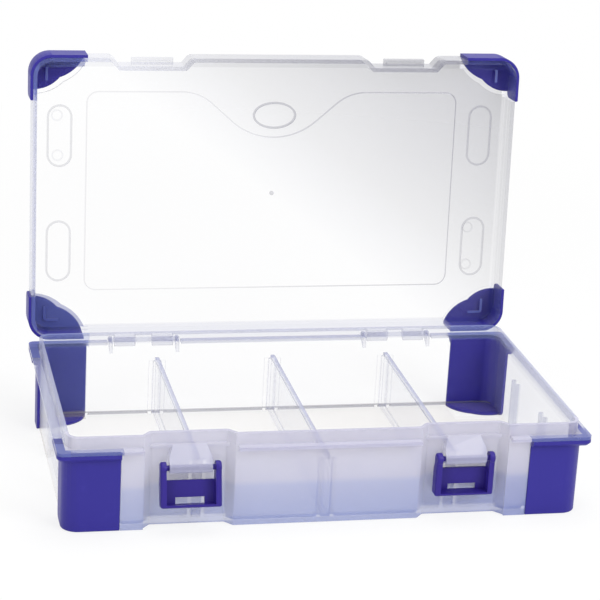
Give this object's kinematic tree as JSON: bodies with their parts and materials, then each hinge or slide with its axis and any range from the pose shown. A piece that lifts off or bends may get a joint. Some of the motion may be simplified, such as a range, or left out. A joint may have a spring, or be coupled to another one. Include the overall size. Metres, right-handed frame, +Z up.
{
  "type": "compartment storage box",
  "caption": "Shallow clear storage box with a hinged lid, lift-out dividers, blue corner guards and swing latches on the front.",
  "frame": {"origin": "centre of the tray's flat underside", "axes": "+X to the right along the box's length, +Y to the hinged back, +Z up"},
  "size_m": [0.3104, 0.2142, 0.2299],
  "materials": {
    "clear_plastic": "clear polypropylene, slightly milky",
    "blue_plastic": "moulded indigo blue, satin gloss",
    "latch_plastic": "moulded indigo blue, satin gloss",
    "pin_plastic": "natural polypropylene"
  },
  "bodies": {
    "base": {"tray": "clear_plastic", "base_corner_front_left": "blue_plastic", "base_corner_front_right": "blue_plastic", "base_corner_rear_left": "blue_plastic", "base_corner_rear_right": "blue_plastic", "hinge_pin_left": "pin_plastic", "hinge_pin_right": "pin_plastic"},
    "lid": {"lid": "clear_plastic", "lid_corner_front_left": "blue_plastic", "lid_corner_front_right": "blue_plastic", "lid_corner_rear_left": "blue_plastic", "lid_corner_rear_right": "blue_plastic"},
    "latch_left": {"latch_left": "latch_plastic"},
    "latch_right": {"latch_right": "latch_plastic"},
    "divider_left": {"divider_left": "clear_plastic"},
    "divider_middle": {"divider_middle": "clear_plastic"},
    "divider_right": {"divider_right": "clear_plastic"}
  },
  "joints": [
    {"name": "lid_hinge", "type": "hinge", "parent": "base", "child": "lid", "pos_m": [0, 0.091, 0.049], "axis": [-1, 0, 0], "range_deg": [-93, 0]},
    {"name": "latch_left_hinge", "type": "hinge", "parent": "base", "child": "latch_left", "pos_m": [-0.08, -0.0868, 0.0373], "axis": [1, 0, 0], "range_deg": [-164, 16]},
    {"name": "latch_right_hinge", "type": "hinge", "parent": "base", "child": "latch_right", "pos_m": [0.08, -0.0868, 0.0373], "axis": [1, 0, 0], "range_deg": [-180, 0]},
    {"name": "divider_left_lift", "type": "slide", "parent": "base", "child": "divider_left", "axis": [0, 0, 1], "range_m": [0, 0.056]},
    {"name": "divider_middle_lift", "type": "slide", "parent": "base", "child": "divider_middle", "axis": [0, 0, 1], "range_m": [0, 0.056]},
    {"name": "divider_right_lift", "type": "slide", "parent": "base", "child": "divider_right", "axis": [0, 0, 1], "range_m": [0, 0.056]}
  ]
}
